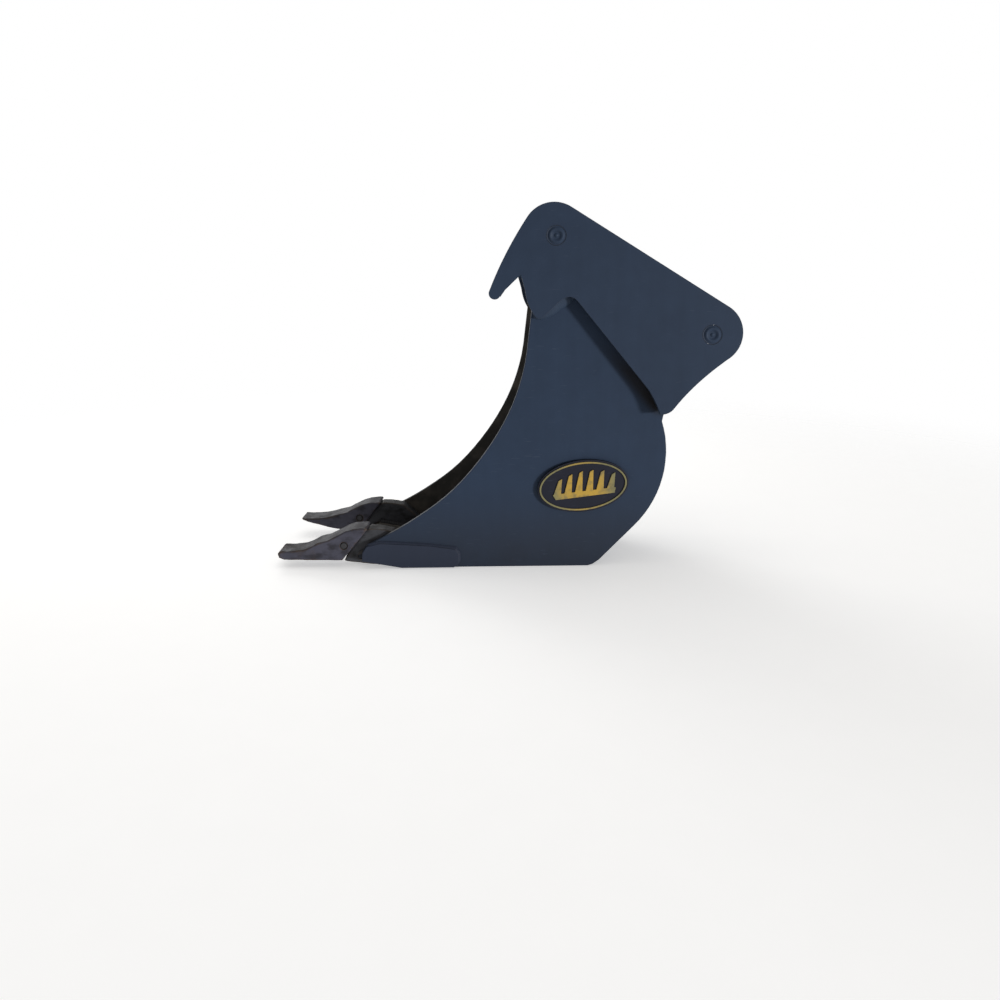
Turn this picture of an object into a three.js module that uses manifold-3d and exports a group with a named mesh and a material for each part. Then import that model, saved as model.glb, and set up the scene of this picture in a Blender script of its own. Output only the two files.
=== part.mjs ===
// Excavator trenching bucket, 300 mm wide, with two teeth and ear plates for a two-pin quick hitch.
// Units are millimetres. +Z is up, the teeth point to -X, and Y runs across the bucket.
// The profile is drawn in the XZ plane: x = 0 lies just behind the neck, z = 0 is the floor underside.
// The group is moved at the end, so that the origin is the middle of the underside's bounding box.
import * as THREE from "three";
import { mergeVertices } from "three/addons/utils/BufferGeometryUtils.js";
import Module from "manifold-3d";

const wasm = await Module();
wasm.setup();

// ---- driving dimensions ----
const fit = 0.3; // gap left between welded or seated faces
const bodyWidth = 300; // outside width over the side plates at the lip
const sideTaper = THREE.MathUtils.degToRad(1.7); // each side plate turns inward towards the back
const sideThick = 12;
const shellThick = 10; // floor, heel, back and top plates
const lipThick = 25;
const earStandoff = 7.2; // from a side plate's outer face at the neck to its ear, 290 mm inside in all
const earThick = 20;
const pinDiameter = 45;
const pinPitch = 430; // between the two hitch pin centres
const pinClearance = 0.5; // radial, pin in ear
const pinProud = 3; // how far a pin stands out of the left ear
const hitchTilt = THREE.MathUtils.degToRad(-31.9); // the pin line falls towards the back
const frontPin = new THREE.Vector2(131, 798);
const backRadius = 254; // outside radius of the rolled back
const backCentre = new THREE.Vector2(151, 280);
const earLap = 38; // how far the side plates reach past the back, inside the ears
const lipRearX = -190;
const lipBendX = -237;
const lipFrontX = -345;
const lipSlope = 0.18; // rise of the lip per millimetre ahead of the bend
const toothWidth = 66;
const toothLength = 158; // along the underside
const adapterWidth = 40;
const noseWidth = 36;
const noseLength = 96;
const lockDiameter = 16;
const lockClearance = 0.4;
const wingThick = 8;
const flagThick = 10;
const keeperOffset = 58; // from pin centre to keeper bolt
const keeperBolt = 12;
const badgeLength = 222;
const badgeHeight = 128;
const badgeThick = 10;
const badgeRelief = 2.5; // ring and emblem above the backing plate
const badgeRim = 5; // backing left showing outside the ring
const badgeLine = 3.8; // width of the ring's own band
const emblemTeeth = 6;

// ---- derived places ----
const rearPin = new THREE.Vector2(
  frontPin.x + pinPitch * Math.cos(hitchTilt),
  frontPin.y + pinPitch * Math.sin(hitchTilt),
);
const halfBody = bodyWidth / 2;
const sideFrontX = -334.6; // lower front corner of the side plates, and the hinge line of their taper
const strapEndX = lipBendX + 25; // rear end of the adapters' straps, inside the bucket
const neckX = 75;

const paint = { plate: 0x303b4d, lower: 0x2b313d, ear: 0x333c4d, steel: 0x4c4e5a, dark: 0x16181c };

const group = new THREE.Group();

function material(color, roughness = 0.6, metalness = 0.25) {
  return new THREE.MeshStandardMaterial({ color, roughness, metalness });
}

function addNode(name, geometry, color, parent = group) {
  const mesh = new THREE.Mesh(geometry, material(color));
  mesh.name = name;
  parent.add(mesh);
  return mesh;
}

// Extrudes an XZ outline between two Y values.
function slab(shape, y0, y1, options = {}) {
  const low = Math.min(y0, y1);
  const high = Math.max(y0, y1);
  const bevelEnabled = Boolean(options.bevel);
  const bevel = options.bevel || 0;
  const geometry = new THREE.ExtrudeGeometry(shape, {
    depth: high - low - 2 * bevel,
    curveSegments: options.segments || 12,
    bevelEnabled,
    bevelThickness: bevel,
    bevelSize: bevel,
    bevelOffset: -bevel,
    bevelSegments: 1,
  });
  geometry.rotateX(Math.PI / 2);
  geometry.translate(0, high - bevel, 0);
  return geometry;
}

function outline(points) {
  return new THREE.Shape(points.map(([x, z]) => new THREE.Vector2(x, z)));
}

function rod(radius, y0, y1, x, z, segments = 32, chamfer = 0) {
  const low = Math.min(y0, y1);
  const high = Math.max(y0, y1);
  const half = (high - low) / 2;
  const profile = [
    new THREE.Vector2(0, -half),
    new THREE.Vector2(radius - chamfer, -half),
    new THREE.Vector2(radius, -half + chamfer),
    new THREE.Vector2(radius, half - chamfer),
    new THREE.Vector2(radius - chamfer, half),
    new THREE.Vector2(0, half),
  ];
  const steps = chamfer > 0 ? profile : [profile[0], profile[2], profile[3], profile[5]];
  const geometry = new THREE.LatheGeometry(steps, segments);
  geometry.translate(x, low + half, z);
  return geometry;
}

// ---- boolean helpers: a three.js geometry to a Manifold and back ----
function toManifold(geometry) {
  const bare = geometry.clone();
  bare.deleteAttribute("normal");
  bare.deleteAttribute("uv");
  const merged = mergeVertices(bare, 1e-4);
  const vertProperties = new Float32Array(merged.attributes.position.array);
  const triVerts = new Uint32Array(merged.index.array);
  return new wasm.Manifold(new wasm.Mesh({ numProp: 3, vertProperties, triVerts }));
}

function toGeometry(manifold) {
  const mesh = manifold.getMesh();
  const geometry = new THREE.BufferGeometry();
  const positions = new Float32Array(mesh.vertProperties);
  geometry.setAttribute("position", new THREE.BufferAttribute(positions, 3));
  geometry.setIndex(new THREE.BufferAttribute(new Uint32Array(mesh.triVerts), 1));
  geometry.computeVertexNormals();
  return geometry;
}

function cut(geometry, tools) {
  const blank = toManifold(geometry);
  return toGeometry(tools.reduce((solid, tool) => solid.subtract(toManifold(tool)), blank));
}

function join(...pieces) {
  const [first, ...rest] = pieces.map(toManifold);
  return toGeometry(rest.reduce((solid, piece) => solid.add(piece), first));
}

function keepInside(geometry, boundary) {
  return toGeometry(toManifold(geometry).intersect(toManifold(boundary)));
}

// ---- the side plates' frame: local x runs along the plate, y = 0 is its outer face at the lip ----
function sideFrame(sign) {
  const frame = new THREE.Group();
  frame.position.set(sideFrontX, sign * halfBody, 0);
  frame.rotation.z = -sign * sideTaper;
  group.add(frame);
  return frame;
}

// Outward distance from the side plates' outer face at the lip to that face at x.
function sideFaceY(x) {
  return halfBody - (x - sideFrontX) * Math.tan(sideTaper);
}

const earInnerY = sideFaceY(neckX) + earStandoff;
const earOuterY = earInnerY + earThick;

// The teeth stand as far out as the adapters' rear ends fit between the side plates.
const toothY = sideFaceY(strapEndX) - sideThick / Math.cos(sideTaper) - fit - adapterWidth / 2;

// A prism between two tapered faces, each `inset` inside the side plates' outer faces.
function betweenSides(inset, fromX = -600, toX = 700) {
  const plan = new THREE.Shape([
    new THREE.Vector2(fromX, -sideFaceY(fromX) + inset),
    new THREE.Vector2(toX, -sideFaceY(toX) + inset),
    new THREE.Vector2(toX, sideFaceY(toX) - inset),
    new THREE.Vector2(fromX, sideFaceY(fromX) - inset),
  ]);
  const prism = new THREE.ExtrudeGeometry(plan, { depth: 1400, bevelEnabled: false });
  prism.translate(0, 0, -200);
  return prism;
}

const shellInset = sideThick / Math.cos(sideTaper) + fit;

function betweenPlates(geometry) {
  return keepInside(geometry, betweenSides(shellInset));
}

// ---- the bucket's outside profile, from the lip bend round the back to the neck ----
const heelStart = new THREE.Vector2(218, 0);
const heelTurn = new THREE.Vector2(231, 4);
const heelBend = new THREE.Vector2(246, 14.5);
const backStartAngle = THREE.MathUtils.degToRad(-45);
const backEndAngle = THREE.MathUtils.degToRad(18);
const backSlope = THREE.MathUtils.degToRad(129.3); // direction of the straight upper back
const upperBack = new THREE.Vector2(288, 545);
const topBend = new THREE.Vector2(205, 647);
const neckTop = new THREE.Vector2(120, 692);
const neckLip = new THREE.Vector2(79, 674);

function onBack(angle, radius) {
  return new THREE.Vector2(
    backCentre.x + radius * Math.cos(angle),
    backCentre.y + radius * Math.sin(angle),
  );
}

// Points of the outside profile, moved inward by `inset`.
function backCurve(inset, steps = 14) {
  const points = [];
  for (let i = 0; i <= steps; i += 1) {
    const angle = THREE.MathUtils.lerp(backStartAngle, backEndAngle, i / steps);
    points.push(onBack(angle, backRadius - inset));
  }
  return points;
}

function inward(direction, inset) {
  return new THREE.Vector2(-Math.sin(direction) * inset, Math.cos(direction) * inset);
}

function upperCurve(inset, steps = 8) {
  const endSlope = backEndAngle + Math.PI / 2;
  const start = onBack(backEndAngle, backRadius - inset);
  const end = upperBack.clone().add(inward(backSlope, inset));
  const run = start.distanceTo(end) / 2.04;
  const control = new THREE.Vector2(
    start.x + Math.cos(endSlope) * run,
    start.y + Math.sin(endSlope) * run,
  );
  return new THREE.QuadraticBezierCurve(start, control, end).getPoints(steps);
}

function topCurve(inset, steps = 8) {
  const start = topBend.clone().add(inward(backSlope, inset));
  const lipDirection = Math.atan2(neckLip.y - neckTop.y, neckLip.x - neckTop.x);
  const end = neckTop.clone().add(inward(lipDirection, inset));
  const middle = (backSlope + lipDirection + 2 * Math.PI) / 2;
  const control = new THREE.Vector2(165, 696).add(inward(middle, inset));
  return new THREE.QuadraticBezierCurve(start, control, end).getPoints(steps);
}

// ---- shell plates between the sides ----
function floorPlate() {
  const shape = outline([
    [lipRearX + fit, 0],
    [heelStart.x - 8, 0],
    [heelStart.x - 8, shellThick],
    [lipRearX + fit, shellThick],
  ]);
  return betweenPlates(slab(shape, -halfBody, halfBody));
}

function heelPlate() {
  const bevelEnd = onBack(backStartAngle, backRadius);
  const bevelEndIn = onBack(backStartAngle, backRadius - shellThick);
  const startX = heelStart.x - 8 + fit;
  const back = new THREE.Vector2(1, 1).normalize().multiplyScalar(fit);
  const shape = outline([
    [startX, 0],
    [heelStart.x, 0],
    [heelTurn.x, heelTurn.y],
    [heelBend.x, heelBend.y],
    [bevelEnd.x - back.x, bevelEnd.y - back.y],
    [bevelEndIn.x - back.x, bevelEndIn.y - back.y],
    [heelBend.x - 6.5, heelBend.y + 8],
    [heelTurn.x - 4, heelTurn.y + 9.3],
    [heelStart.x - 2, shellThick],
    [startX, shellThick],
  ]);
  return betweenPlates(slab(shape, -halfBody, halfBody));
}

function backPlate() {
  const outer = [...backCurve(0), ...upperCurve(0).slice(1)];
  const inner = [...backCurve(shellThick), ...upperCurve(shellThick).slice(1)];
  const shape = new THREE.Shape([...outer, ...inner.reverse()]);
  return betweenPlates(slab(shape, -halfBody, halfBody));
}

function topPlate() {
  const along = new THREE.Vector2(Math.cos(backSlope), Math.sin(backSlope)).multiplyScalar(fit);
  const start = upperBack.clone().add(along);
  const startIn = start.clone().add(inward(backSlope, shellThick));
  const lipDirection = Math.atan2(neckLip.y - neckTop.y, neckLip.x - neckTop.x);
  const lipIn = neckLip.clone().add(inward(lipDirection, shellThick));
  const shape = new THREE.Shape([
    start,
    ...topCurve(0),
    neckLip,
    lipIn,
    ...topCurve(shellThick).reverse(),
    startIn,
  ]);
  return betweenPlates(slab(shape, -halfBody, halfBody));
}

// ---- side plates ----
// One long sweep from the neck down to the lip corner, flatter towards the lip.
function frontEdge(steps = 26) {
  const curve = new THREE.CatmullRomCurve3([
    new THREE.Vector3(76.5, 622, 0),
    new THREE.Vector3(59, 486, 0),
    new THREE.Vector3(26, 387, 0),
    new THREE.Vector3(-33, 285.5, 0),
    new THREE.Vector3(-117, 188, 0),
    new THREE.Vector3(-215, 115.5, 0),
    new THREE.Vector3(-322, 56, 0),
  ]);
  return curve.getPoints(steps).map((p) => [p.x, p.y]);
}

function sideShape() {
  const lap = inward(backSlope, -earLap);
  const points = [
    [sideFrontX, 17.6],
    [lipBendX, 0],
    [heelStart.x, 0],
    [heelTurn.x, heelTurn.y],
    [heelBend.x, heelBend.y],
    ...backCurve(0).map((p) => [p.x, p.y]),
    [400, 393],
    [385, 470],
    [upperBack.x + lap.x, upperBack.y + lap.y],
    [topBend.x + lap.x, topBend.y + lap.y],
    [180, 712],
    [110, 712],
    [74, 668],
    ...frontEdge(),
    [-333, 40.5],
  ];
  return outline(points.map(([x, z]) => [x - sideFrontX, z]));
}

// ---- lip, adapters, teeth ----
function lipUnder(x) {
  return x > lipBendX ? 0 : (lipBendX - x) * lipSlope;
}

const lipRise = lipThick * Math.hypot(1, lipSlope); // vertical thickness on the sloping part

function lipPlate() {
  const shape = outline([
    [lipRearX, 0],
    [lipBendX, 0],
    [lipFrontX, lipUnder(lipFrontX)],
    [lipFrontX, lipUnder(lipFrontX) + 10],
    [lipFrontX + 22, lipUnder(lipFrontX + 22) + lipRise],
    [lipBendX + lipThick * 0.09, lipThick],
    [lipRearX - 12, lipThick],
    [lipRearX, shellThick],
  ]);
  return betweenPlates(slab(shape, -halfBody, halfBody));
}

const tipRearLow = new THREE.Vector2(lipFrontX - 38, 16); // lower rear corner of a tooth tip
const tipRearHigh = new THREE.Vector2(lipFrontX + 24, 98);
const tipGap = 1.5; // between a tip's rear face and its adapter's shoulder
const noseRoot = { low: 31, high: 84 };
const noseEnd = { low: 32, high: 52 };
const noseRootX = lipFrontX - 1;
const lockX = lipFrontX - 34;
const lockZ = 54;

// Tapered wedge: a box between a rear and a front rectangle, both centred on y = 0.
function wedge(rearX, rear, rearWidth, frontX, front, frontWidth) {
  const corners = [];
  for (const [x, span, width] of [[rearX, rear, rearWidth], [frontX, front, frontWidth]]) {
    corners.push([x, -width / 2, span.low]);
    corners.push([x, width / 2, span.low]);
    corners.push([x, width / 2, span.high]);
    corners.push([x, -width / 2, span.high]);
  }
  const geometry = new THREE.BufferGeometry();
  const positions = new Float32Array(corners.flat());
  geometry.setAttribute("position", new THREE.BufferAttribute(positions, 3));
  geometry.setIndex([
    0, 1, 2, 0, 2, 3, // rear
    4, 6, 5, 4, 7, 6, // front
    0, 5, 1, 0, 4, 5, // under
    2, 1, 5, 2, 5, 6, // +Y side
    3, 2, 6, 3, 6, 7, // top
    0, 3, 7, 0, 7, 4, // -Y side
  ]);
  return geometry;
}

function nose(grow) {
  const rear = { low: noseRoot.low - grow, high: noseRoot.high + grow };
  const front = { low: noseEnd.low - grow, high: noseEnd.high + grow };
  const extra = grow > 0 ? 40 : 24;
  const slope = (noseRoot.high - noseEnd.high) / noseLength;
  rear.high += slope * extra;
  return wedge(
    noseRootX + extra, rear, noseWidth + 2 * grow,
    noseRootX - noseLength - grow, front, noseWidth - 8 + 2 * grow,
  );
}

// Worn tips differ: `cant` turns the outline about the lock pin, point up, `rise` lifts the
// point's underside, `blunt` is the height of its end face, `crown` thins the blade's top and
// `worn` is the length lost from the point.
function toothTip({ cant, rise, blunt, crown, worn }) {
  const tipX = tipRearLow.x - toothLength + worn;
  const under = tipRearLow.y;
  const points = [
    [tipRearLow.x, under],
    [tipX + 92, under + rise * 0.2],
    [tipX + 16, under + rise],
    [tipX + 3, under + rise + 5],
    [tipX, under + rise + 8 + blunt / 2],
    [tipX + 6, under + rise + 6 + blunt],
    [tipX + 26, 46 - crown],
    [tipX + 62, 50 - crown],
    [tipX + 78, 54 - crown * 0.6],
    [tipX + 96, 61],
    [tipX + 122, 68],
    [tipX + 140 - worn, 77],
    [tipX + 166 - worn, 90],
    [tipX + 186 - worn, 96],
    [tipRearHigh.x - 4, tipRearHigh.y],
    [tipRearHigh.x, tipRearHigh.y - 4],
  ];
  const turned = points.map(([x, z]) => {
    const dx = x - lockX;
    const dz = z - lockZ;
    return x > tipRearLow.x - 1 ? [x, z] : [
      lockX + dx * Math.cos(cant) + dz * Math.sin(cant),
      lockZ - dx * Math.sin(cant) + dz * Math.cos(cant),
    ];
  });
  const shape = outline(turned);
  const blank = slab(shape, -toothWidth / 2, toothWidth / 2, { bevel: 3 });
  const pocket = nose(0.6);
  const lockHole = rod(lockDiameter / 2 + lockClearance, -toothWidth, toothWidth, lockX, lockZ, 24);
  return cut(blank, [pocket, lockHole]);
}

function adapter() {
  const gap = fit;
  const under = (x) => lipUnder(x) - gap;
  const over = (x) => lipUnder(x) + lipRise + gap;
  const shape = outline([
    [tipRearLow.x + tipGap, tipRearLow.y],
    [tipRearLow.x + tipGap + 3, 11],
    [lipFrontX + 53, 1.5],
    [lipFrontX + 59, under(lipFrontX + 59)],
    [lipFrontX - gap, under(lipFrontX)],
    [lipFrontX - gap, lipUnder(lipFrontX) + 10 + gap],
    [lipFrontX + 22 - gap, over(lipFrontX + 22)],
    [lipBendX + lipThick * 0.09, lipThick + gap],
    [strapEndX, lipThick + gap],
    [strapEndX, lipThick + 9],
    [strapEndX - 7, 48],
    [strapEndX - 22, 66],
    [lipFrontX + 84, 87],
    [lipFrontX + 58, 92],
    [tipRearHigh.x + tipGap + 3, 94],
    [tipRearHigh.x + tipGap - 1, 92],
  ]);
  const body = slab(shape, -adapterWidth / 2, adapterWidth / 2);
  const lipSlot = outline([
    [lipFrontX - gap, under(lipFrontX)],
    [lipFrontX + 80, under(lipFrontX + 80)],
    [lipFrontX + 80, over(lipFrontX + 80)],
    [lipFrontX + 22 - gap, over(lipFrontX + 22)],
    [lipFrontX - gap, lipUnder(lipFrontX) + 10 + gap],
  ]);
  const solid = cut(join(body, nose(0)), [
    slab(lipSlot, -adapterWidth, adapterWidth),
    rod(lockDiameter / 2 + lockClearance, -adapterWidth, adapterWidth, lockX, lockZ, 24),
  ]);
  return solid;
}

function wingShape() {
  return outline([
    [sideFrontX + 0.6, 19],
    [lipBendX, 1.5],
    [-110, 1.5],
    [-98, 12],
    [-98, 34],
    [-106, 47],
    [-122, 50],
    [-167, 56],
    [-240, 61],
    [-288, 63.5],
    [-322, 56],
    [sideFrontX + 2.5, 40],
  ].map(([x, z]) => [x - sideFrontX, z]));
}

// ---- ears and hitch ----
// Round ends of the ears: each centre is measured from its pin.
const earFrontRound = { centre: new THREE.Vector2(-5, 1.5), radius: 73.8 };
const earRearRound = { centre: new THREE.Vector2(-1, 3), radius: 72.5 };

function earShape() {
  const shape = new THREE.Shape();
  const front = frontPin.clone().add(earFrontRound.centre);
  const rear = rearPin.clone().add(earRearRound.centre);
  const topAngle = Math.PI / 2 + hitchTilt;
  // the front edge runs into the front round without a corner
  const rise = new THREE.Vector2(10, 757);
  const reach = rise.clone().sub(front);
  const touch = reach.angle() - Math.acos(earFrontRound.radius / reach.length());
  const landing = front.clone().add(new THREE.Vector2(Math.cos(touch), Math.sin(touch))
    .multiplyScalar(earFrontRound.radius));
  shape.moveTo(381, 382);
  // lower left edge, rising to the apex over the side plate
  shape.quadraticCurveTo(371, 411, 352, 441);
  shape.lineTo(184, 646);
  shape.quadraticCurveTo(173, 660, 160, 658);
  shape.quadraticCurveTo(146, 655, 129, 637);
  shape.lineTo(103, 612);
  shape.quadraticCurveTo(90, 600, 78, 622);
  // front edge of the neck, up to the inner corner of the beak
  shape.quadraticCurveTo(65, 640, 60, 674);
  shape.lineTo(50, 709);
  // underside of the beak and its round point
  shape.lineTo(14, 674);
  shape.lineTo(3, 658);
  shape.absarc(-10, 666, 14, -0.5, -Math.PI - 0.42, true);
  shape.quadraticCurveTo(rise.x, rise.y, landing.x, landing.y);
  // round end over the front pin, straight top edge, round end over the rear pin
  shape.absarc(front.x, front.y, earFrontRound.radius, touch, topAngle, true);
  shape.absarc(rear.x, rear.y, earRearRound.radius, topAngle, -1.03, true);
  // hollow lower right edge back to the corner
  shape.quadraticCurveTo(505, 491, 489, 477);
  shape.quadraticCurveTo(446, 440, 413, 397);
  shape.quadraticCurveTo(402, 382, 381, 382);
  return shape;
}

function pinHole(pin, radius = pinDiameter / 2 + pinClearance) {
  return rod(radius, -400, 400, pin.x, pin.y, 48);
}

// The keeper bolt sits on the pin line, towards the other pin.
function keeperPlace(pin, sense) {
  return new THREE.Vector2(
    pin.x + sense * keeperOffset * Math.cos(hitchTilt),
    pin.y + sense * keeperOffset * Math.sin(hitchTilt),
  );
}

function keeperHole(pin, sense) {
  const place = keeperPlace(pin, sense);
  return rod(keeperBolt / 2 + fit, 0, 400, place.x, place.y, 20);
}

function ear(sign) {
  const blank = slab(earShape(), sign * earInnerY, sign * earOuterY, { segments: 10 });
  const tools = [pinHole(frontPin), pinHole(rearPin)];
  if (sign > 0) {
    tools.push(keeperHole(frontPin, 1), keeperHole(rearPin, -1));
  }
  return cut(blank, tools);
}

function packer(sign) {
  // Wedge plate that fills the space between a tapered side plate and its ear.
  const shape = outline([
    [96, 622],
    [124, 646],
    [160, 669],
    [182, 664],
    [361, 446],
    [377, 418],
    [386, 393],
    [394, 396],
    [380, 466],
    [230, 656],
    [178, 705],
    [114, 705],
    [80, 662],
    [82, 634],
  ]);
  const blank = slab(shape, sign * 60, sign * (earInnerY - fit));
  return cut(blank, [betweenSides(-fit / Math.cos(sideTaper))]);
}

function flag(pin, sense) {
  // Teardrop plate: round over the pin, smaller round over the keeper bolt.
  const bolt = keeperPlace(pin, sense);
  const direction = Math.atan2(bolt.y - pin.y, bolt.x - pin.x);
  const big = pinDiameter / 2 + 7;
  const small = keeperBolt / 2 + 10;
  const lean = Math.acos((big - small) / keeperOffset);
  const shape = new THREE.Shape();
  shape.absarc(pin.x, pin.y, big, direction + lean, direction - lean, false);
  shape.absarc(bolt.x, bolt.y, small, direction - lean, direction + lean, false);
  const face = earOuterY + fit;
  const blank = slab(shape, face, face + flagThick, { segments: 14 });
  return cut(blank, [rod(keeperBolt / 2 + fit, face - 5, face + flagThick + 5, bolt.x, bolt.y, 20)]);
}

function keeper(pin, sense) {
  const place = keeperPlace(pin, sense);
  const seat = earOuterY + fit + flagThick + fit;
  const head = rod(keeperBolt * 0.92, seat, seat + 8, place.x, place.y, 6);
  const shank = rod(keeperBolt / 2, earOuterY - 14, seat + 4, place.x, place.y, 20, 1);
  return join(head, shank);
}

function hitchPin(pin) {
  return rod(pinDiameter / 2, -earOuterY - pinProud, earOuterY, pin.x, pin.y, 48, 2.5);
}

// The bucket's own section, grown by the fit gap: what meets the back from outside is cut by it.
function bodyCore() {
  const points = [...backCurve(-fit), ...upperCurve(-fit).slice(1), ...topCurve(-fit)];
  const inside = new THREE.Vector2(60, 400);
  return slab(new THREE.Shape([...points, inside]), -halfBody * 2, halfBody * 2);
}

// Closing plate between the ears behind the bucket. Its wide part clears the side plates' edges.
function hitchBackPlate() {
  const narrow = outline([
    [370, 366],
    [405, 405],
    [447, 452],
    [440, 461],
    [398, 413],
    [366, 380],
  ]);
  const wide = outline([
    [410, 410.6],
    [447, 452],
    [440, 461],
    [403.2, 418.9],
  ]);
  const web = betweenPlates(slab(narrow, -halfBody, halfBody));
  return cut(join(slab(wide, -earInnerY + fit, earInnerY - fit), web), [bodyCore()]);
}

function hitchGusset(y) {
  const shape = outline([
    [366, 380.5],
    [397.7, 413.4],
    [439.7, 461.4],
    [374, 486],
    [330, 470],
  ]);
  return cut(slab(shape, y - 6, y + 6), [bodyCore()]);
}

// Stiffening bar across the top plate's front edge
function neckBar() {
  const lipDirection = Math.atan2(neckLip.y - neckTop.y, neckLip.x - neckTop.x);
  const low = neckLip.clone().add(inward(lipDirection, -fit));
  const high = neckTop.clone().add(inward(lipDirection, -fit));
  const shape = outline([
    [low.x, low.y],
    [high.x - 4, high.y - 1.75],
    [high.x - 11, high.y + 13],
    [low.x + 18, low.y + 30],
    [low.x - 4, low.y + 20],
  ]);
  return betweenPlates(slab(shape, -halfBody, halfBody));
}

// ---- badge: oval backing, ring and a saw-tooth emblem, on each side plate ----
const badgePlace = new THREE.Vector2(203, 204);
const badgeTilt = THREE.MathUtils.degToRad(7);

function oval(halfLength, halfHeight) {
  const shape = new THREE.Shape();
  shape.absellipse(0, 0, halfLength, halfHeight, 0, Math.PI * 2);
  return shape;
}

function badgePiece(shape, sign, from, to, segments = 24) {
  const geometry = slab(shape, sign * from, sign * to, { segments });
  geometry.rotateY(-badgeTilt);
  geometry.translate(badgePlace.x - sideFrontX, 0, badgePlace.y);
  return geometry;
}

function badgeRing(sign) {
  const shape = oval(badgeLength / 2 - badgeRim, badgeHeight / 2 - badgeRim);
  const hole = new THREE.Path();
  const inset = badgeRim + badgeLine;
  hole.absellipse(0, 0, badgeLength / 2 - inset, badgeHeight / 2 - inset, 0, Math.PI * 2);
  shape.holes.push(hole);
  const face = badgeThick + 2 * fit;
  return badgePiece(shape, sign, face, face + badgeRelief);
}

// A row of leaning saw teeth on a bar, tallest in the middle, so that it follows the oval.
function badgeEmblem(sign) {
  const width = badgeLength * 0.7;
  const pitch = width / emblemTeeth;
  const base = -badgeHeight * 0.2;
  const bar = badgeHeight * 0.1;
  const points = [[-width / 2 + 8, base], [width / 2 - 4, base], [width / 2, base + bar]];
  for (let i = emblemTeeth - 1; i >= 0; i -= 1) {
    const x = -width / 2 + i * pitch;
    const fromMiddle = (i - (emblemTeeth - 1) / 2) / emblemTeeth;
    const height = badgeHeight * (0.5 - 0.62 * fromMiddle * fromMiddle);
    points.push([x + pitch * 0.86, base + bar + 1]);
    points.push([x + pitch * 1.12, base + height]);
    points.push([x + pitch * 0.78, base + height - 4]);
    points.push([x + pitch * 0.18, base + bar + 1]);
  }
  points.push([-width / 2 + 2, base + bar]);
  const face = badgeThick + 2 * fit;
  return badgePiece(outline(points), sign, face, face + badgeRelief);
}

// ---- assembly ----
const toothWear = {
  left: { cant: THREE.MathUtils.degToRad(-0.5), rise: 3, blunt: 17, crown: 5, worn: 0 },
  right: { cant: THREE.MathUtils.degToRad(2.4), rise: 20, blunt: 5, crown: -1, worn: 4 },
};
const sides = [["left", -1], ["right", 1]];

addNode("floor_plate", floorPlate(), paint.plate);
addNode("heel_plate", heelPlate(), paint.plate);
addNode("back_plate", backPlate(), paint.plate);
addNode("top_plate", topPlate(), paint.plate);
addNode("lip_plate", lipPlate(), paint.lower);
addNode("hitch_back_plate", hitchBackPlate(), paint.ear);
addNode("neck_stiffener", neckBar(), paint.ear);

for (const [name, sign] of sides) {
  const frame = sideFrame(sign);
  addNode(`side_plate_${name}`, slab(sideShape(), -sign * sideThick, 0), paint.plate, frame);
  addNode(`lip_wing_${name}`, slab(wingShape(), sign * fit, sign * (fit + wingThick)), paint.lower, frame);
  const backing = badgePiece(oval(badgeLength / 2, badgeHeight / 2), sign, fit, fit + badgeThick);
  addNode(`badge_backing_${name}`, backing, paint.dark, frame);
  addNode(`badge_ring_${name}`, badgeRing(sign), 0xc9b53c, frame);
  addNode(`badge_emblem_${name}`, badgeEmblem(sign), 0xc9b53c, frame);

  addNode(`ear_plate_${name}`, ear(sign), paint.ear);
  addNode(`ear_packer_${name}`, packer(sign), paint.ear);
  addNode(`hitch_gusset_${name}`, hitchGusset(sign * 62), paint.ear);

  const tooth = new THREE.Group();
  tooth.position.y = sign * toothY;
  group.add(tooth);
  addNode(`tooth_tip_${name}`, toothTip(toothWear[name]), paint.steel, tooth);
  addNode(`tooth_adapter_${name}`, adapter(), paint.lower, tooth);
  const lock = rod(lockDiameter / 2, -toothWidth / 2 + 1, toothWidth / 2 - 1, lockX, lockZ, 24, 1.5);
  addNode(`tooth_lock_pin_${name}`, lock, paint.steel, tooth);
}

for (const [name, pin, sense] of [["front", frontPin, 1], ["rear", rearPin, -1]]) {
  addNode(`hitch_pin_${name}`, hitchPin(pin), paint.ear);
  addNode(`pin_flag_${name}`, flag(pin, sense), paint.ear);
  addNode(`keeper_bolt_${name}`, keeper(pin, sense), paint.steel);
}

// The origin is the middle of the bounding box, on the ground.
const bounds = new THREE.Box3().setFromObject(group, true);
group.position.set(
  -(bounds.min.x + bounds.max.x) / 2,
  -(bounds.min.y + bounds.max.y) / 2,
  -bounds.min.z,
);

export default group;
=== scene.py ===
from math import cos, pi, radians, sin

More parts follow.
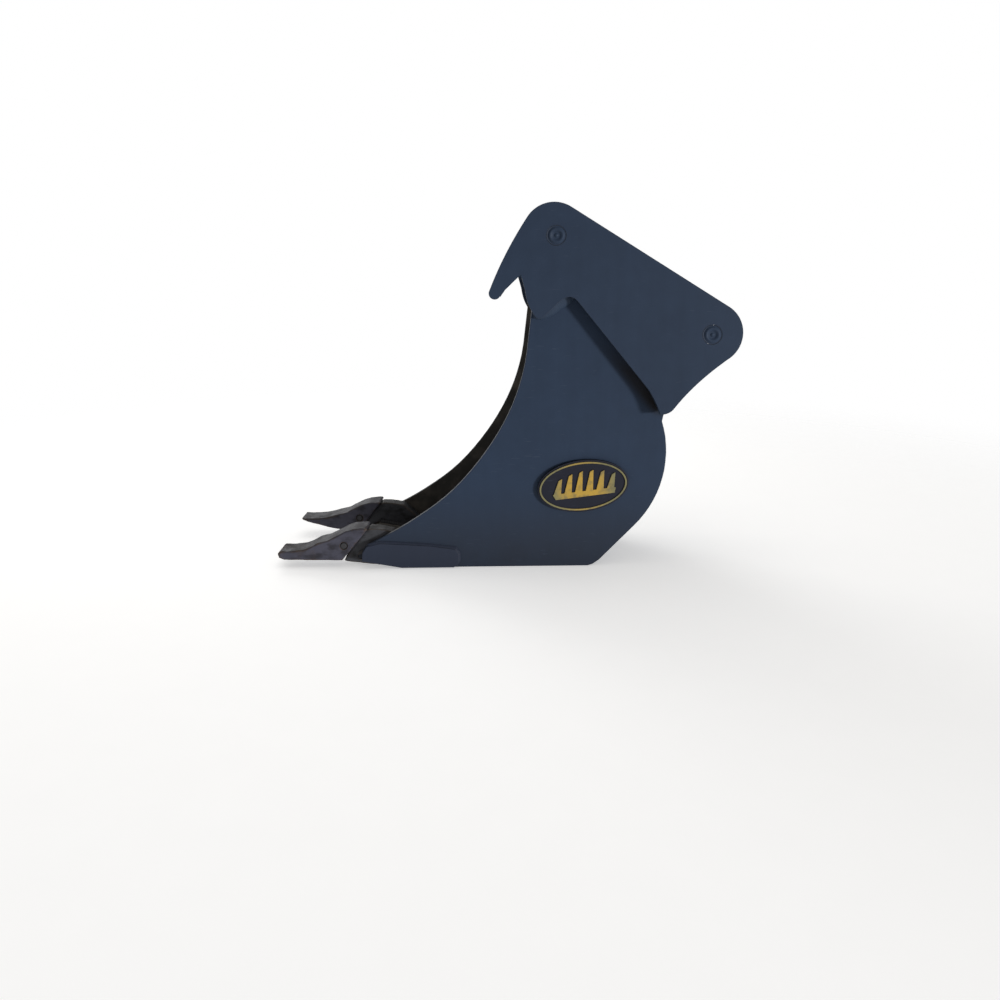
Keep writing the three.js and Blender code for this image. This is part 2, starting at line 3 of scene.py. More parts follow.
import bmesh
import bpy
import numpy as np
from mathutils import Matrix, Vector


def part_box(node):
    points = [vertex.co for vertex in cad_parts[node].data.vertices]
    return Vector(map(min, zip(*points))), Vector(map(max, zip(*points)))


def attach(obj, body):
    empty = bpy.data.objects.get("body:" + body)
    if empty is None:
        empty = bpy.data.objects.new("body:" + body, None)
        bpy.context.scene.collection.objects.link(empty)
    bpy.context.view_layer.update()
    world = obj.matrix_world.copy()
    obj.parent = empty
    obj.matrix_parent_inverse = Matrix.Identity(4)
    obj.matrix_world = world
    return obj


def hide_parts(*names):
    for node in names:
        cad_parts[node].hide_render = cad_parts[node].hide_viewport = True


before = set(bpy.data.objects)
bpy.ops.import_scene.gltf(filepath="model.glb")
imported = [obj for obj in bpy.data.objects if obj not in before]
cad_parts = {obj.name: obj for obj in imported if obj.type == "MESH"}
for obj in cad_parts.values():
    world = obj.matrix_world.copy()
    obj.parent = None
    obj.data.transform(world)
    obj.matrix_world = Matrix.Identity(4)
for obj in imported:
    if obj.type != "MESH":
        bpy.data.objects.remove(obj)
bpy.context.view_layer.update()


# ---- The stand: camera, floor and lamps ----
# A pale studio floor that fades out into white, one low hard-edged key lamp from the right, which
# throws each ear's shadow sideways onto its side plate, and broad soft lamps above and behind.
camera = bpy.data.objects.new("camera", bpy.data.cameras.new("camera"))
bpy.context.scene.collection.objects.link(camera)
camera.location = (-0.0134, -2.0278, 0.7061)
camera.rotation_euler = (radians(82), 0, 0)
camera.data.sensor_width = 36
camera.data.lens = 28.75
camera.data.shift_x = 0.001
camera.data.shift_y = -0.1118
bpy.context.scene.camera = camera


def lamp(name, kind, place, towards, power, size):
    """A lamp at one point, facing another. A sun's size is its angle, an area lamp's its width."""
    light = bpy.data.lights.new(name, kind)
    light.energy = power
    if kind == "SUN":
        light.angle = size
    else:
        light.size = size
    holder = bpy.data.objects.new(name, light)
    bpy.context.scene.collection.objects.link(holder)
    holder.location = place
    facing = Vector(towards) - Vector(place)
    holder.rotation_euler = facing.to_track_quat("-Z", "Y").to_euler()


key_angle = radians(50)  # from straight in front of the side plate, round towards the back
lamp("key", "SUN", (3 * sin(key_angle), -3 * cos(key_angle), 0.55), (0, 0, 0.45), 2.7, radians(9))
lamp("overhead", "AREA", (-0.3, 0.4, 3.0), (0, 0, 0.3), 15, 2.4)
lamp("behind", "AREA", (-1.6, 2.8, 1.5), (0, 0, 0.4), 40, 1.8)

world = bpy.data.worlds.new("studio")
bpy.context.scene.world = world
world.use_nodes = True
room = world.node_tree
seen = room.nodes.new("ShaderNodeBackground")
seen.inputs["Color"].default_value = (1, 1, 1, 1)
filling = room.nodes["Background"]
filling.inputs["Color"].default_value = (1, 0.98, 0.96, 1)
filling.inputs["Strength"].default_value = 0.37
choice = room.nodes.new("ShaderNodeMixShader")
path = room.nodes.new("ShaderNodeLightPath")
room.links.new(path.outputs["Is Camera Ray"], choice.inputs["Fac"])
room.links.new(filling.outputs[0], choice.inputs[1])
room.links.new(seen.outputs[0], choice.inputs[2])
room.links.new(choice.outputs[0], room.nodes["World Output"].inputs["Surface"])
bpy.context.scene.view_settings.view_transform = "Standard"


class Wire:
    """One output in a material's node tree, which can be used in a sum."""

    def __init__(self, finish, socket):
        self.finish = finish
        self.socket = socket

    def maths(self, operation, first, second):
        return self.finish.node("ShaderNodeMath", {"operation": operation}, {0: first, 1: second})

    def __add__(self, other):
        return self.maths("ADD", self, other)

    def __radd__(self, other):
        return self.maths("ADD", other, self)

    def __sub__(self, other):
        return self.maths("SUBTRACT", self, other)

    def __rsub__(self, other):
        return self.maths("SUBTRACT", other, self)

    def __mul__(self, other):
        return self.maths("MULTIPLY", self, other)

    def __rmul__(self, other):
        return self.maths("MULTIPLY", other, self)

    def band(self, low, high):
        """0 up to `low`, 1 from `high`, with a smooth ramp between. `low` may be the larger one."""
        return self.finish.node(
            "ShaderNodeMapRange",
            {"interpolation_type": "SMOOTHSTEP"},
            {"Value": self, "From Min": low, "From Max": high},
        )


class Finish:
    """A material as it is mixed: its node tree, and one method that adds any node to it."""

    def __init__(self, name):
        self.material = bpy.data.materials.new(name)
        self.material.use_nodes = True
        self.tree = self.material.node_tree
        self.shader = self.tree.nodes["Principled BSDF"]
        self.place = self.node("ShaderNodeTexCoord", out="Object")
        self.normal = self.node("ShaderNodeNewGeometry", out="Normal")

    def node(self, kind, settings=(), inputs=(), out=0):
        made = self.tree.nodes.new(kind)
        for key, value in dict(settings).items():
            setattr(made, key, value)
        for key, value in dict(inputs).items():
            if isinstance(value, Wire):
                self.tree.links.new(value.socket, made.inputs[key])
            else:
                made.inputs[key].default_value = value
        return Wire(self, made.outputs[out])

    def noise(self, scale, detail=3.0, stretch=(1, 1, 1), turn=(0, 0, 0)):
        spot = self.place
        if stretch != (1, 1, 1) or turn != (0, 0, 0):
            spot = self.node("ShaderNodeMapping", (), {"Vector": spot, "Rotation": turn, "Scale": stretch})
        return self.node("ShaderNodeTexNoise", (), {"Vector": spot, "Scale": scale, "Detail": detail})

    def axis(self, vector, letter):
        return self.node("ShaderNodeSeparateXYZ", (), {"Vector": vector}, out=letter)

    def mix(self, mask, first, second):
        """Colour `first` where the mask is 0, `second` where it is 1."""
        return self.node("ShaderNodeMix", {"data_type": "RGBA"}, {0: mask, 6: first, 7: second}, out=2)

    def scaled(self, colour, amount):
        return self.node(
            "ShaderNodeVectorMath", {"operation": "SCALE"}, {"Vector": colour[:3], "Scale": amount}
        )

    def dot(self, first, second):
        return self.node(
            "ShaderNodeVectorMath", {"operation": "DOT_PRODUCT"}, {0: first, 1: second}, out="Value"
        )

    def edge(self, reach):
        """Near 0 on flat faces, rising over `reach` metres to about 0.3 on a square edge."""
        rounded = self.node("ShaderNodeBevel", {"samples": 4}, {"Radius": reach})
        return 1 - self.dot(rounded, self.normal)

    def bump(self, height, depth, strength=1.0):
        """Turns a height of 0 to 1 into a relief `depth` metres deep."""
        self.feed("Normal", self.node(
            "ShaderNodeBump", (), {"Strength": strength, "Distance": depth, "Height": height}
        ))

    def feed(self, socket, value):
        if isinstance(value, Wire):
            self.tree.links.new(value.socket, self.shader.inputs[socket])
        else:
            self.shader.inputs[socket].default_value = value


def tint(red, green, blue):
    """A screen colour, 0 to 255, as the linear colour that a shader takes."""
    levels = [level / 255 for level in (red, green, blue)]
    return (*(v / 12.92 if v < 0.04045 else ((v + 0.055) / 1.055) ** 2.4 for v in levels), 1)


floor_radius = 3.2
bpy.ops.object.select_all(action="DESELECT")
bpy.ops.mesh.primitive_circle_add(vertices=96, radius=floor_radius, fill_type="NGON")
studio_floor = bpy.context.object
studio_floor.name = "studio_floor"
floor_finish = Finish("floor_card")
floor_grain = floor_finish.noise(14)
floor_finish.feed("Base Color", floor_finish.mix(floor_grain, tint(246, 246, 245), tint(250, 250, 249)))
floor_finish.feed("Roughness", 0.9)
floor_finish.feed("Emission Color", (1, 1, 1, 1))
floor_finish.feed("Emission Strength", 0.4)
away = floor_finish.node(
    "ShaderNodeVectorMath", {"operation": "LENGTH"}, {0: floor_finish.place}, out="Value"
)
floor_finish.feed("Alpha", away.band(floor_radius * 0.95, floor_radius * 0.3))
studio_floor.data.materials.append(floor_finish.material)


# ---- Shell: floor, heel, rolled back and top plate ----
# 10 mm plate, rolled and folded to one section and welded in between the two side plates. The coat
# is a satin dark blue-grey, rubbed thin along the edges and stained by soil inside the bowl.
def pick(*objects):
    """Leaves only these objects selected, with the last one active."""
    bpy.ops.object.select_all(action="DESELECT")
    for item in objects:
        item.select_set(True)
    bpy.context.view_layer.objects.active = objects[-1]


def bench_copy(node, name):
    """A merged copy of a CAD node, its flat faces whole again, to be worked on."""
    piece = bpy.data.objects.new(name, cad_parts[node].data.copy())
    bpy.context.scene.collection.objects.link(piece)
    piece.data.materials.clear()
    pick(piece)
    bpy.ops.object.mode_set(mode="EDIT")
    bpy.ops.mesh.customdata_custom_splitnormals_clear()
    bpy.ops.mesh.select_all(action="SELECT")
    bpy.ops.mesh.remove_doubles(threshold=0.00002)
    bpy.ops.mesh.dissolve_limited(angle_limit=radians(0.8))
    bpy.ops.object.mode_set(mode="OBJECT")
    return piece


def modify(piece, kind, **settings):
    """Adds a modifier with these settings and applies it."""
    pick(piece)
    bpy.ops.object.modifier_add(type=kind)
    modifier = piece.modifiers[-1]
    for key, value in settings.items():
        setattr(modifier, key, value)
    bpy.ops.object.modifier_apply(modifier=modifier.name)


def round_edges(piece, width, steps=2, sharper_than=28):
    """Rounds every edge that turns by more than `sharper_than` degrees."""
    modify(piece, "BEVEL", width=width, segments=steps, limit_method="ANGLE",
           angle_limit=radians(sharper_than))
    pick(piece)
    bpy.ops.object.shade_smooth_by_angle(angle=radians(sharper_than))
    modify(piece, "WEIGHTED_NORMAL", weight=100, keep_sharp=True)


def hand_over(piece, finish, slot, body, *nodes):
    """Gives a finished piece its material and its body, and hides the CAD nodes that it stands for."""
    piece.data.materials.clear()
    piece.data.materials.append(finish.material)
    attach(piece, body)
    if nodes:
        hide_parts(*nodes)


bowl_middle = (0.06, 0, 0.30)  # about the middle of the space that holds the soil
bowl_rim = 0.655  # height of the top plate's front edge
ear_line = 0.541  # how far up the slope each ear's lower edge lies from the origin


def steel_coat(name, coat, roughness=0.55, wear=0.5, low_shade=0.5, bowl=True, painted_ear_shadow=False):
    """Paint on plate: uneven coat, run marks, scuffs, rubbed edges, painted shade low down, a stained
    bowl, and painted shadow under the ears where asked.
    """
    finish = Finish(name)
    cloud = finish.noise(3.2, 2)
    patches = finish.noise(24, 5)
    fine = finish.noise(260, 3)
    streaks = finish.noise(7, 4, stretch=(6, 6, 0.5))
    scuffs = finish.noise(30, 6, stretch=(1, 1, 9), turn=(0, radians(62), 0)).band(0.64, 0.76)
    height = finish.axis(finish.place, "Z")
    tone = 0.70 + 0.22 * cloud + 0.22 * patches + 0.16 * streaks
    colour = finish.scaled(coat, tone)
    # Painted shade: the plates darken towards the floor, blotched with noise.
    low_shade_mask = height.band(0.24, 0.02) * (0.35 + patches * 0.5 + cloud * 0.4) * low_shade
    colour = finish.mix(low_shade_mask, colour, tint(32, 35, 42))
    colour = finish.mix(scuffs * 0.22, colour, tint(70, 78, 92))
    rubbed = (finish.edge(0.0035) * 3.0 + patches * 0.9 - 0.45).band(0.34, 0.8) * wear
    colour = finish.mix(rubbed * 0.8, colour, tint(72, 62, 54))
    chipped = (finish.edge(0.002) * 3.2 + fine * 0.8 - 0.5).band(0.5, 0.85) * wear
    colour = finish.mix(chipped * 0.5, colour, tint(84, 82, 84))
    shine = roughness + 0.16 * patches - 0.08 + 0.12 * low_shade_mask
    sideways = finish.axis(finish.normal, "Y")
    cut_face = (sideways * sideways).band(0.2, 0.05)
    drag_lines = finish.noise(380, 2, stretch=(1, 0.05, 1))
    relief = patches * 0.5 + fine * 0.25 + cut_face * drag_lines * 1.2
    if painted_ear_shadow:  # painted shadow: a near-black band along the lower edge of the ear, deepening its cast shadow on the side plate
        across = finish.dot(finish.place, (0.774, 0, 0.633))
        ear_shadow_band = across.band(ear_line - 0.038, ear_line - 0.010) * height.band(0.58, 0.44)
        ear_shadow_band = ear_shadow_band * height.band(0.365, 0.395) * (0.6 + patches * 0.6)
        colour = finish.mix(ear_shadow_band, colour, tint(20, 17, 16))
    if bowl:
        inwards = finish.node(
            "ShaderNodeVectorMath", {"operation": "SUBTRACT"}, {0: bowl_middle, 1: finish.place}
        )
        below_rim = height.band(bowl_rim + 0.02, bowl_rim - 0.02)
        inside = finish.dot(finish.normal, inwards).band(0.0, 0.04) * below_rim
        scrape = finish.noise(16, 6, stretch=(1, 7, 1)).band(0.42, 0.7)
        soil = finish.mix(scrape, tint(56, 54, 50), tint(88, 83, 77))
        colour = finish.mix(inside * 0.92, colour, soil)
        shine = shine + inside * 0.1
    finish.feed("Base Color", colour)
    finish.feed("Roughness", shine)
    finish.feed("Specular IOR Level", 0.16)
    finish.bump(relief, 0.0006)
    return finish


hull_colour = tint(36, 49, 68)
hull_coat = steel_coat("hull_coat", hull_colour, wear=0.3, low_shade=0.75)
for node in ("floor_plate", "heel_plate", "back_plate", "top_plate"):
    plate = bench_copy(node, f"finished_{node}")
    round_edges(plate, 0.0012)
    hand_over(plate, hull_coat, "body_paint", "bucket", node)


# ---- Side plates ----
# 12 mm plate, flame cut in one piece from neck to lip. The cut edges are ground back to a small
# radius by hand, so they catch the light along the swept front. Painted shadow darkens each plate
# in a band under its ear.
side_coat = steel_coat("side_coat", hull_colour, wear=0.3, low_shade=0.75, painted_ear_shadow=True)
for side in ("left", "right"):
    plate = bench_copy(f"side_plate_{side}", f"finished_side_plate_{side}")
    round_edges(plate, 0.0018, steps=3)
    hand_over(plate, side_coat, "body_paint", "bucket", f"side_plate_{side}")


# ---- Seams between the shell and the side plates ----
# Fillet welds down both inside corners and flat runs on the outside, laid by hand: each drop of
# weld metal leaves a scale that overlaps the one before it.
def runs_along(node, chosen):
    """Chains the chosen sharp edges of a CAD node into runs of rows: point, normal, normal."""
    mesh = bmesh.new()
    mesh.from_mesh(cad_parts[node].data)
    bmesh.ops.remove_doubles(mesh, verts=mesh.verts, dist=0.00002)
    links = {}
    for edge in mesh.edges:
        if len(edge.link_faces) != 2 or edge.calc_face_angle(0) < radians(28):
            continue
        normals = [face.normal.copy() for face in edge.link_faces]
        middle = (edge.verts[0].co + edge.verts[1].co) / 2
        for first, second in (normals, normals[::-1]):
            if chosen(middle, first, second):
                start, end = edge.verts
                for a, b in ((start, end), (end, start)):
                    links.setdefault(a.index, []).append((b.index, first, second))
                break
    places = {vertex.index: vertex.co.copy() for vertex in mesh.verts}
    mesh.free()
    runs = []
    while links:
        ends = [index for index, near in links.items() if len(near) == 1]
        here = ends[0] if ends else next(iter(links))
        rows = []
        while links.get(here):
            there, first, second = links[here].pop()
            links[there] = [link for link in links[there] if link[0] != here]
            if not rows:
                rows.append((*places[here], *first, *second))
            rows.append((*places[there], *first, *second))
            here = there
        links = {index: near for index, near in links.items() if near}
        runs.append(np.array(rows))
    return runs


def weld(name, runs, finish, reach, height, corner=True, slot="body_paint", seed=1):
    """Rippled weld metal along each run. A corner bead fills the corner between the plate that the
    first normal faces and the side that the second one belongs to. A flat bead lies over the edge,
    on the face of the second normal."""
    ripple = 0.0048  # length of one scale
    rng = np.random.default_rng(seed)
    points = []
    faces = []
    turns = np.linspace(-0.15, (pi / 2 if corner else pi) + 0.15, 9)
    ring = len(turns) + 1
    for rows in runs:
        lengths = np.r_[0, np.cumsum(np.linalg.norm(np.diff(rows[:, :3], axis=0), axis=1))]
        if lengths[-1] < 2 * reach:
            continue
        along = np.linspace(0, lengths[-1], max(int(lengths[-1] / ripple * 4), 8))
        path = np.stack([np.interp(along, lengths, rows[:, i]) for i in range(9)], 1)
        ahead = np.gradient(path[:, :3], axis=0)
        ahead = ahead / np.linalg.norm(ahead, axis=1, keepdims=True)
        base = path[:, 3:6] / np.linalg.norm(path[:, 3:6], axis=1, keepdims=True)
        face = path[:, 6:9] / np.linalg.norm(path[:, 6:9], axis=1, keepdims=True)
        side, up = (face, -base) if corner else (np.cross(ahead, face), face)
        marks = np.arange(0, lengths[-1] + 0.03, 0.015)
        weave = np.interp(along, marks, rng.uniform(-1, 1, len(marks)))
        to_end = np.minimum(along, lengths[-1] - along) / reach
        relief = min(1, 0.008 / reach)  # the scales on a wide run are no higher than on a narrow one
        size = 0.90 + (0.09 * np.abs(np.sin(pi * along / ripple)) + 0.09 * weave) * relief
        size = size * np.sqrt(np.clip(to_end, 0.02, 1))
        section = [  # how far out, how far up, how full, and how far the ripple trails
            (cos(turn), sin(turn), 1 - 0.14 * max(sin(2 * turn), 0) if corner else 1, max(sin(turn), 0))
            for turn in turns
        ]
        section.append((-0.2 if corner else 0, -0.2 if corner else -0.5, 1, 0))
        start = len(points)
        for out, rise, bulge, lag in section:
            points.extend((
                path[:, :3]
                + side * (out * bulge * reach * size)[:, None]
                + up * (rise * bulge * height * size)[:, None]
                + ahead * (lag * ripple * 0.45)
            ).tolist())
        count = len(along)
        for i in range(ring):
            one = start + i * count
            other = start + (i + 1) % ring * count
            for k in range(count - 1):
                faces.append((one + k, one + k + 1, other + k + 1, other + k))
        faces.append(tuple(start + i * count for i in range(ring)))
        faces.append(tuple(start + (ring - 1 - i) * count + count - 1 for i in range(ring)))
    mesh = bpy.data.meshes.new(name)
    mesh.from_pydata(points, [], faces)
    piece = bpy.data.objects.new(name, mesh)
    bpy.context.scene.collection.objects.link(piece)
    pick(piece)
    bpy.ops.object.mode_set(mode="EDIT")
    bpy.ops.mesh.select_all(action="SELECT")
    bpy.ops.mesh.normals_make_consistent(inside=False)
    bpy.ops.object.mode_set(mode="OBJECT")
    bpy.ops.object.shade_smooth_by_angle(angle=radians(50))
    hand_over(piece, finish, slot, "bucket")
    return piece


weld_coat = steel_coat("weld_coat", tint(42, 54, 71), roughness=0.55, wear=0.35, bowl=False)
bowl_weld_coat = steel_coat("bowl_weld_coat", tint(64, 61, 57), roughness=0.6, wear=0.5, bowl=False)


def towards_bowl(point, normal):
    return normal.dot(Vector(bowl_middle) - point) > 0


shell_nodes = ("floor_plate", "heel_plate", "back_plate", "top_plate")
for side, sign in (("left", -1), ("right", 1)):
    inside = runs_along("lip_plate", lambda point, end, face: end.y * sign > 0.9 and face.z > 0.7)
    outside = []
    for node in shell_nodes:
        inside += runs_along(node, lambda point, end, face: end.y * sign > 0.9 and abs(face.y) < 0.5
                             and towards_bowl(point, face))
    for node in ("heel_plate", "back_plate"):
        outside += runs_along(node, lambda point, end, face: end.y * sign > 0.9 and abs(face.y) < 0.5
                              and not towards_bowl(point, face) and point.z > 0.03 and face.x > 0.2)
    weld(f"bowl_weld_{side}", inside, bowl_weld_coat, 0.006, 0.006, seed=3)
    weld(f"back_weld_{side}", outside, weld_coat, 0.006, 0.0018, corner=False, seed=4)


# ---- Lip plate ----
# 25 mm wear-resistant plate, bent up ahead of the floor and bevelled at the front. Digging has
# taken the paint off its leading edge.
lip_coat = steel_coat("lip_coat", tint(40, 44, 50), roughness=0.6, wear=0.9, low_shade=0.6)
lip = bench_copy("lip_plate", "finished_lip_plate")
round_edges(lip, 0.002, steps=3)
hand_over(lip, lip_coat, "lower_paint", "bucket", "lip_plate")
lip_seam = runs_along("floor_plate", lambda point, end, face: end.x < -0.9 and face.z > 0.9)
weld("lip_weld", lip_seam, bowl_weld_coat, 0.008, 0.010, slot="lower_paint", seed=5)


# ---- Tooth adapters ----
# Steel castings, forked over the lip and welded down along their straps, with a nose that the tooth
# tip slides onto. Casting leaves generous radii and a slightly sandy skin.
def cast_skin(piece, node, grain, dents):
    """Softens a piece into a casting with an uneven skin, and fits it to its CAD node's box."""
    modify(piece, "REMESH", mode="VOXEL", voxel_size=grain)
    modify(piece, "SMOOTH", factor=0.5, iterations=6)
    lumps = bpy.data.textures.new(piece.name, "CLOUDS")
    lumps.noise_scale = 0.028
    lumps.noise_depth = 3
    modify(piece, "DISPLACE", texture=lumps, texture_coords="LOCAL", strength=dents, mid_level=0.8)
    corners = np.array([vertex.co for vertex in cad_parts[node].data.vertices])
    low, high = corners.min(0), corners.max(0)
    spots = np.array([vertex.co for vertex in piece.data.vertices])
    spots = low + (spots - spots.min(0)) * (high - low) / (spots.max(0) - spots.min(0))
    piece.data.vertices.foreach_set("co", spots.ravel())
    piece.data.update()
    pick(piece)
    bpy.ops.object.shade_smooth()


def cast_coat(name, coat, rust, hollow, browned):
    """Paint on a casting: blotched, browned along the worn edges, with grime lying in the hollows."""
    finish = Finish(name)
    cloud = finish.noise(11, 4)
    patches = finish.noise(36, 5)
    fine = finish.noise(280, 3)
    bend = finish.node("ShaderNodeNewGeometry", out="Pointiness")
    crest = bend.band(0.503, 0.545)
    colour = finish.scaled(coat, 0.62 + 0.42 * cloud + 0.38 * patches)
    stain = (finish.noise(24, 5, stretch=(1, 1, 2)) + bend.band(0.498, 0.46) * 0.4).band(0.44, 0.68)
    colour = finish.mix(stain * 0.8, colour, hollow)
    facing_up = finish.axis(finish.normal, "Z").band(0.35, 0.9)  # darker on what faces up, patchy with noise
    colour = finish.mix(facing_up * (0.35 + patches * 0.5), colour, hollow)
    point = finish.axis(finish.place, "X").band(-0.43, -0.54)
    worn = (crest * 0.8 + patches * 0.9 + cloud * 0.4 + point * 0.22 - 0.45).band(0.3, 0.85)
    colour = finish.mix(worn * browned, colour, rust)
    bare = (crest * 0.7 + fine * 0.6 - 0.3).band(0.55, 0.9)
    colour = finish.mix(bare * 0.4, colour, tint(80, 77, 75))
    finish.feed("Base Color", colour)
    finish.feed("Roughness", 0.5 + 0.25 * patches + 0.1 * stain)
    finish.feed("Specular IOR Level", 0.2)
    finish.bump(patches * 0.6 + fine * 0.4, 0.0011)
    return finish


adapter_coat = cast_coat("adapter_coat", tint(56, 57, 61), tint(64, 54, 46), tint(25, 24, 24), 0.6)
strap_weld_coat = cast_coat("strap_weld_coat", tint(66, 66, 70), tint(70, 58, 50), tint(24, 23, 23), 0.5)
strap_slope = 0.18  # the straps lie on a lip that climbs at this slope
for side in ("left", "right"):
    node = f"tooth_adapter_{side}"
    casting = bench_copy(node, f"finished_{node}")
    round_edges(casting, 0.004, steps=3)
    cast_skin(casting, node, 0.0021, 0.0022)
    hand_over(casting, adapter_coat, "lower_paint", "bucket", node)
    upper = runs_along(node, lambda point, sole, edge: sole.z < -0.9 and abs(sole.x + strap_slope) < 0.05
                       and (abs(edge.y) > 0.9 or edge.x > 0.4))
    lower = runs_along(node, lambda point, sole, edge: sole.z > 0.9 and abs(sole.x - strap_slope) < 0.05
                       and abs(edge.y) > 0.9 and point.z < 0.03)
    weld(f"strap_weld_{side}", upper, strap_weld_coat, 0.009, 0.008, slot="lower_paint", seed=6)
    weld(f"lower_strap_weld_{side}", lower, strap_weld_coat, 0.006, 0.005, slot="lower_paint", seed=7)


# ---- Tooth tips ----
# Hollow alloy-steel castings that wear away in use. The near one is blunt and the far one has worn
# to a point. The coat is left in the hollows, and the edges have gone brown.
tip_coat = cast_coat("tip_coat", tint(62, 62, 73), tint(66, 54, 46), tint(37, 36, 41), 0.8)
for side in ("left", "right"):
    node = f"tooth_tip_{side}"
    tip = bench_copy(node, f"finished_{node}")
    round_edges(tip, 0.004, steps=3)
    cast_skin(tip, node, 0.0018, 0.0026)
    hand_over(tip, tip_coat, "tooth_paint", "bucket", node)


# ---- Tooth lock pins ----
# Rolled steel pins, driven through the side of each tip and the nose inside it.
lock_steel = steel_coat("lock_steel", tint(58, 57, 58), roughness=0.5, wear=0.8, low_shade=0.4, bowl=False)
for side in ("left", "right"):
    pin = bench_copy(f"tooth_lock_pin_{side}", f"finished_tooth_lock_pin_{side}")
    round_edges(pin, 0.0006)
    hand_over(pin, lock_steel, "lock_steel", f"{side}_lock_pin", f"tooth_lock_pin_{side}")


# ---- Lip wings ----
# 8 mm wear plates along the lower front of the side plates, welded on along their top and rear
# edges. The weld stops short of the lower rear corner.
wing_coat = steel_coat("wing_coat", tint(39, 46, 62), wear=0.35, low_shade=0.4, bowl=False)
for side, sign in (("left", -1), ("right", 1)):
    wing = bench_copy(f"lip_wing_{side}", f"finished_lip_wing_{side}")
    round_edges(wing, 0.002, steps=3)
    hand_over(wing, wing_coat, "lower_paint", "bucket", f"lip_wing_{side}")
    seam = runs_along(f"lip_wing_{side}", lambda point, sole, edge: sole.y * sign < -0.9
                      and edge.z > -0.5 and edge.x > -0.5 and point.z > 0.015)
    weld(f"wing_weld_{side}", seam, wing_coat, 0.005, 0.005, slot="lower_paint", seed=8)


# ---- Neck: packers, stiffening bar, hitch back plate and gussets ----
# Cut plate, welded between the ears and onto the bucket. The packers fill the wedge that each
# side plate's taper leaves under its ear.
neck_coat = steel_coat("neck_coat", tint(37, 49, 66), bowl=False)
for node in ("neck_stiffener", "hitch_back_plate", "hitch_gusset_left", "hitch_gusset_right",
             "ear_packer_left", "ear_packer_right"):
    plate = bench_copy(node, f"finished_{node}")
    round_edges(plate, 0.0012)
    hand_over(plate, neck_coat, "body_paint", "bucket", node)


def under_ear_tip(point, edge):
    """Whether a packer's edge lies below the tip of its ear, where a heavy run closes the gap."""
    return edge.z < 0.2 and point.z > 0.62 and neck_front < point.x < 0.175


neck_front = 0.075  # no bead hangs over the front edge of the neck
for side, sign in (("left", -1), ("right", 1)):
    packer = f"ear_packer_{side}"
    under_ear = runs_along(packer, lambda point, sole, edge: sole.y * sign < -0.9
                           and under_ear_tip(point, edge))
    lower = runs_along(packer, lambda point, sole, edge: sole.y * sign < -0.9
                       and not under_ear_tip(point, edge) and point.x > neck_front)
    to_ear = runs_along(packer, lambda point, sole, edge: sole.y * sign > 0.9 and abs(edge.y) < 0.3
                        and point.x > 0.085)
    weld(f"ear_weld_{side}", under_ear, weld_coat, 0.030, 0.0150, seed=9)
    weld(f"packer_weld_{side}", lower, weld_coat, 0.008, 0.008, seed=10)
    weld(f"packer_ear_weld_{side}", to_ear, weld_coat, 0.006, 0.005, seed=11)
    ends = []
    for node in ("neck_stiffener", "hitch_back_plate"):
        ends += runs_along(node, lambda point, end, face: end.y * sign > 0.9 and abs(face.y) < 0.3)
    weld(f"neck_weld_{side}", ends, weld_coat, 0.006, 0.006, seed=12)
    gusset = runs_along(f"hitch_gusset_{side}", lambda point, sole, face: abs(face.y) > 0.9
                        and abs(sole.y) < 0.3 and abs(sole.x) > 0.5)
    weld(f"gusset_weld_{side}", gusset, weld_coat, 0.005, 0.005, seed=13)


# ---- Ear plates ----
# 20 mm plate, cut with a beak in front that guides the hitch, and bored for the two hitch pins.
ear_coat = steel_coat("ear_coat", tint(38, 50, 68), wear=0.3, bowl=False)
for side in ("left", "right"):
    plate = bench_copy(f"ear_plate_{side}", f"finished_ear_plate_{side}")
    round_edges(plate, 0.0018, steps=3)
    hand_over(plate, ear_coat, "body_paint", "bucket", f"ear_plate_{side}")


# ---- Hitch pins, flags and keeper bolts ----
# 45 mm pins across the ears, with rings turned into their left-hand ends. A flag on the right-hand
# end is held by one bolt, so that the pin cannot turn or walk out.
pin_end = (  # each cut of the turned end: how far in from the last one, and how far out
    (0.0040, 0.0034), (0.0020, 0.0001), (0.0020, -0.0005), (0.0035, -0.0028), (0.0035, -0.0002),
    (0.0015, 0.0016), (0.0030, 0.0010),
)


def turn_end(piece, set_back, cuts):
    """Moves the left-hand end of a pin in, then works it into rings with one inset for each cut."""
    pick(piece)
    bpy.ops.object.mode_set(mode="EDIT")
    bpy.ops.mesh.select_mode(type="FACE")
    bpy.ops.mesh.select_all(action="DESELECT")
    bpy.ops.object.mode_set(mode="OBJECT")
    for polygon in piece.data.polygons:
        polygon.select = polygon.normal.y < -0.9
    bpy.ops.object.mode_set(mode="EDIT")
    bpy.ops.transform.translate(value=(0, set_back, 0))
    for width, rise in cuts:
        bpy.ops.mesh.inset(thickness=width, depth=rise)
    bpy.ops.mesh.select_mode(type="VERT")
    bpy.ops.object.mode_set(mode="OBJECT")


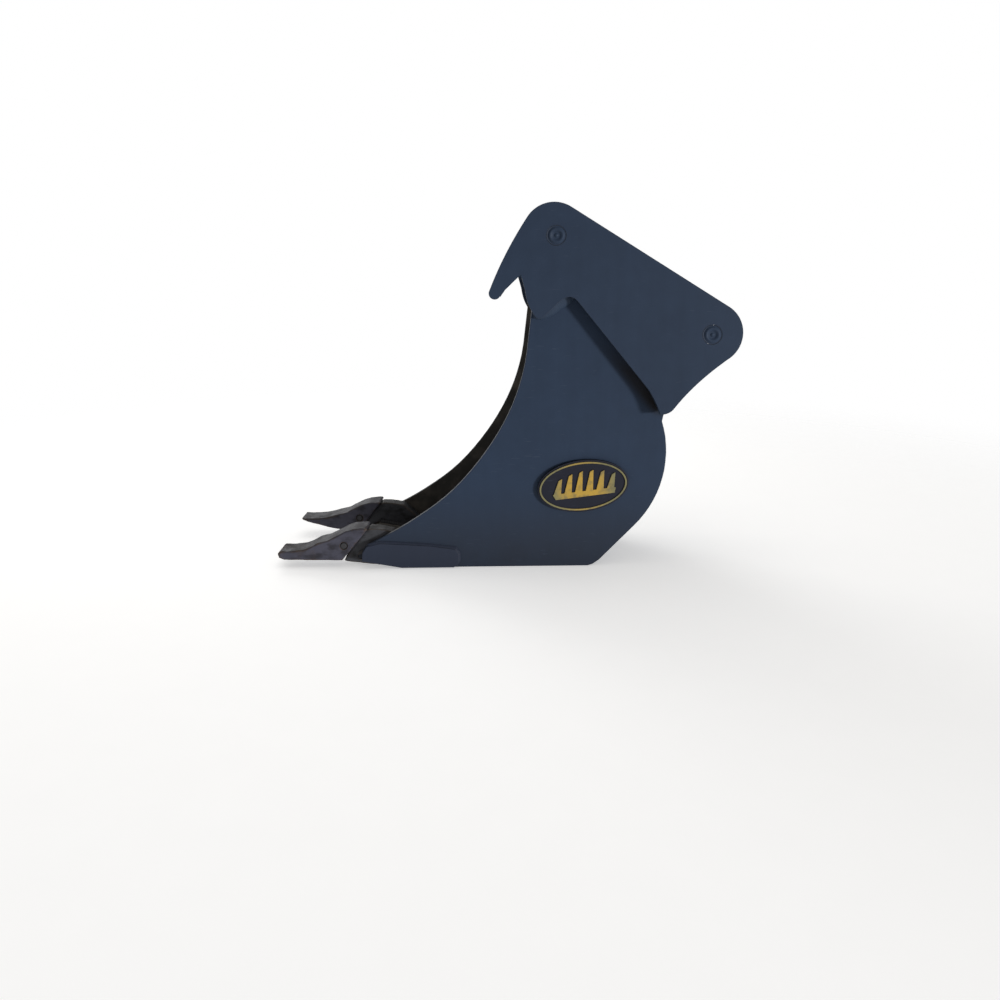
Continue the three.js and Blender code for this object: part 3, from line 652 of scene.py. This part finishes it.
bolt_steel = steel_coat("bolt_steel", tint(98, 98, 102), roughness=0.45, wear=0.6, bowl=False)
for place in ("front", "rear"):
    for node, finish, slot in ((f"hitch_pin_{place}", ear_coat, "body_paint"),
                               (f"pin_flag_{place}", ear_coat, "body_paint"),
                               (f"keeper_bolt_{place}", bolt_steel, "bolt_steel")):
        piece = bench_copy(node, f"finished_{node}")
        if node.startswith("hitch_pin"):
            turn_end(piece, 0.0035, pin_end)
        round_edges(piece, 0.0006)
        hand_over(piece, finish, slot, f"{place}_pin", node)


# ---- Badges ----
# A black oval backing stands off each side plate, with a yellow ring and a saw-tooth emblem on it.
badge_black = steel_coat("badge_black", tint(27, 29, 40), roughness=0.5, wear=0.1, low_shade=0.2, bowl=False)
def badge_paint(name, low, high):
    """Yellow paint, rubbed and faded to khaki towards the ends of the oval."""
    finish = Finish(name)
    along = finish.axis(finish.place, "X") - (low[0] + high[0]) / 2
    upwards = finish.axis(finish.place, "Z") - (low[2] + high[2]) / 2
    fading = (along * along + upwards * upwards).band(0.0006, 0.0062)
    patches = finish.noise(70, 5)
    colour = finish.mix(fading, tint(170, 138, 58), tint(118, 113, 78))
    colour = finish.mix(patches.band(0.45, 0.7) * 0.6, colour, tint(96, 92, 70))
    rubbed = (finish.edge(0.0012) * 3 + patches * 0.7 - 0.4).band(0.3, 0.7)
    colour = finish.mix(rubbed * 0.5, colour, tint(52, 48, 42))
    finish.feed("Base Color", colour)
    finish.feed("Roughness", 0.45 + 0.2 * patches)
    finish.feed("Specular IOR Level", 0.2)
    finish.bump(patches, 0.0004)
    return finish


badge_yellow = badge_paint("badge_yellow", *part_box("badge_backing_left"))
for side in ("left", "right"):
    for part, finish, slot, width in (("backing", badge_black, "badge_black", 0.0015),
                                      ("ring", badge_yellow, "badge_yellow", 0.0008),
                                      ("emblem", badge_yellow, "badge_yellow", 0.0006)):
        piece = bench_copy(f"badge_{part}_{side}", f"finished_badge_{part}_{side}")
        round_edges(piece, width)
        hand_over(piece, finish, slot, "bucket", f"badge_{part}_{side}")
